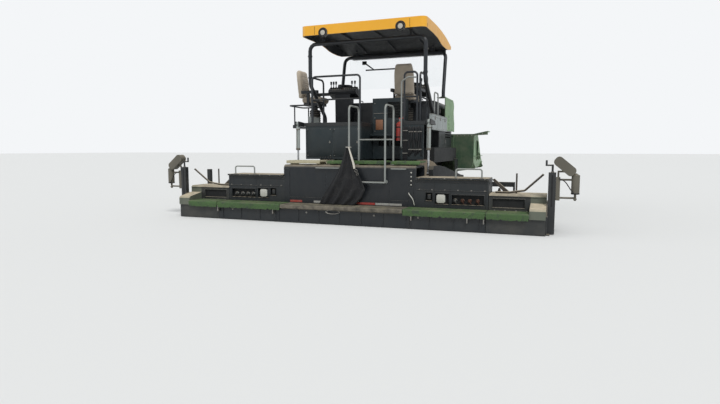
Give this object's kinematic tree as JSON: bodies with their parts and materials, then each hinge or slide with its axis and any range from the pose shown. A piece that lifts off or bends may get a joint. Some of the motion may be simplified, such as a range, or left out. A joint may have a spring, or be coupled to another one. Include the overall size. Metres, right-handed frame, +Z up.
{
  "type": "asphalt paver on crawlers",
  "caption": "Crawler asphalt paver with front hopper, push rollers, conveyor, augers, operator platform under a canopy and a wide floating screed with sliding end units.",
  "frame": {"origin": "on the ground under the middle of the machine's box", "axes": "+X to the machine's right, +Y forward in the paving direction, +Z up"},
  "size_m": [7.7332, 6.64, 3.7308],
  "materials": {
    "frame_paint": "worn satin dark grey paint",
    "track_steel": "worn dusty steel with rubber faces",
    "hopper_green": "worn green paint",
    "bare_steel": "scuffed steel",
    "hood_grey": "satin dark grey paint",
    "panel_teal": "satin dark teal paint",
    "rail_black": "satin black paint",
    "console_black": "moulded plastic",
    "seat_fabric": "woven seat cloth",
    "red_paint": "gloss red paint",
    "roof_yellow": "gloss yellow paint",
    "lining_dark": "matt lining",
    "lamp": "lamp body",
    "screed_paint": "dusty dark paint",
    "walk_green": "dusty green paint",
    "rail_grey": "light grey paint",
    "tarp_black": "black sheet",
    "sensor_dust": "dusty moulded plastic",
    "cylinder_grey": "light grey paint",
    "rod_chrome": "polished",
    "engine_iron": "cast iron",
    "pane": "clear pane",
    "end_green": "dusty grey green paint",
    "exhaust_steel": "heat stained steel"
  },
  "bodies": {
    "tractor": {"chassis": "frame_paint", "hopper_frame": "frame_paint", "tow_brackets": "frame_paint", "crawlers": "track_steel", "crawler_frames": "frame_paint", "conveyor": "bare_steel", "bulkhead": "hopper_green", "engine_block": "engine_iron", "engine_hood": "hood_grey", "exhaust": "exhaust_steel", "side_lockers": "hood_grey", "crawler_guards": "sensor_dust", "auger_carrier": "frame_paint", "platform": "frame_paint", "rear_walls": "panel_teal", "centre_cabinet": "panel_teal", "lift_brackets": "frame_paint", "platform_rails": "rail_black", "grab_rails": "rail_grey", "consoles": "console_black", "seat_frames": "rail_black", "seat_pads": "seat_fabric", "tool_boxes": "rail_grey", "side_panels": "hopper_green", "extinguisher": "red_paint", "canopy_roof": "roof_yellow", "canopy_lining": "lining_dark", "work_lamps": "lamp", "canopy_bows": "rail_black", "windscreen": "pane"},
    "auger_left": {"auger_left": "bare_steel"},
    "wing_left": {"wing_left": "hopper_green"},
    "push_roller_left": {"push_roller_left": "bare_steel"},
    "end_left": {"end_unit_left": "end_green", "end_tread_left": "walk_green", "end_gate_left": "frame_paint", "sensor_left": "sensor_dust"},
    "lift_barrel_left": {"barrel_left": "cylinder_grey"},
    "lift_rod_left": {"rod_left": "rod_chrome"},
    "auger_right": {"auger_right": "bare_steel"},
    "wing_right": {"wing_right": "hopper_green"},
    "push_roller_right": {"push_roller_right": "bare_steel"},
    "end_right": {"end_unit_right": "end_green", "end_tread_right": "walk_green", "end_gate_right": "frame_paint", "sensor_right": "sensor_dust"},
    "lift_barrel_right": {"barrel_right": "cylinder_grey"},
    "lift_rod_right": {"rod_right": "rod_chrome"},
    "apron": {"apron": "frame_paint"},
    "push_beam": {"push_beam": "frame_paint"},
    "screed": {"tow_arms": "screed_paint", "screed_body": "screed_paint", "screed_hood": "screed_paint", "hood_steps": "walk_green", "side_boxes": "screed_paint", "screed_fittings": "rail_grey", "walkway": "walk_green", "ladder_rails": "rail_grey", "tarp": "tarp_black"}
  },
  "joints": [
    {"name": "screed_lift", "type": "hinge", "parent": "tractor", "child": "screed", "pos_m": [0, 0.88, 0.62], "axis": [-1, 0, 0], "range_deg": [0, 7]},
    {"name": "end_left_slide", "type": "slide", "parent": "screed", "child": "end_left", "axis": [-1, 0, 0], "range_m": [0, 0.6]},
    {"name": "auger_left_spin", "type": "hinge", "parent": "tractor", "child": "auger_left", "pos_m": [-1.2, -1.84, 0.42], "axis": [1, 0, 0], "continuous": true},
    {"name": "wing_left_fold", "type": "hinge", "parent": "tractor", "child": "wing_left", "pos_m": [-0.666, 2, 0.6], "axis": [0, 1, 0], "range_deg": [0, 55]},
    {"name": "push_roller_left_spin", "type": "hinge", "parent": "push_beam", "child": "push_roller_left", "pos_m": [-0.47, 3.225, 0.52], "axis": [1, 0, 0], "continuous": true},
    {"name": "lift_barrel_left_swing", "type": "hinge", "parent": "tractor", "child": "lift_barrel_left", "pos_m": [-1.33, -2.2, 1.83], "axis": [1, 0, 0], "range_deg": [-6, 6]},
    {"name": "lift_rod_left_slide", "type": "slide", "parent": "lift_barrel_left", "child": "lift_rod_left", "axis": [0, 0.021, 0.9998], "range_m": [-0.01, 0.4]},
    {"name": "end_right_slide", "type": "slide", "parent": "screed", "child": "end_right", "axis": [1, 0, 0], "range_m": [0, 0.6]},
    {"name": "auger_right_spin", "type": "hinge", "parent": "tractor", "child": "auger_right", "pos_m": [1.2, -1.84, 0.42], "axis": [1, 0, 0], "continuous": true},
    {"name": "wing_right_fold", "type": "hinge", "parent": "tractor", "child": "wing_right", "pos_m": [0.666, 2, 0.6], "axis": [0, -1, 0], "range_deg": [0, 55]},
    {"name": "push_roller_right_spin", "type": "hinge", "parent": "push_beam", "child": "push_roller_right", "pos_m": [0.47, 3.225, 0.52], "axis": [1, 0, 0], "continuous": true},
    {"name": "lift_barrel_right_swing", "type": "hinge", "parent": "tractor", "child": "lift_barrel_right", "pos_m": [1.33, -2.2, 1.83], "axis": [1, 0, 0], "range_deg": [-6, 6]},
    {"name": "lift_rod_right_slide", "type": "slide", "parent": "lift_barrel_right", "child": "lift_rod_right", "axis": [0, 0.021, 0.9998], "range_m": [-0.01, 0.4]},
    {"name": "apron_fold", "type": "hinge", "parent": "tractor", "child": "apron", "pos_m": [0, 2.848, 0.518], "axis": [1, 0, 0], "range_deg": [0, 60]},
    {"name": "push_beam_swing", "type": "hinge", "parent": "tractor", "child": "push_beam", "pos_m": [0, 2.92, 0.365], "axis": [0, 0, 1], "range_deg": [-5, 5]}
  ],
  "couplings": [
    {"joint": "lift_barrel_left_swing", "follows": "screed_lift", "ratio": 0.6677},
    {"joint": "lift_rod_left_slide", "follows": "screed_lift", "m_per_rad": 3.0695},
    {"joint": "lift_barrel_right_swing", "follows": "screed_lift", "ratio": 0.6677},
    {"joint": "lift_rod_right_slide", "follows": "screed_lift", "m_per_rad": 3.0695}
  ]
}
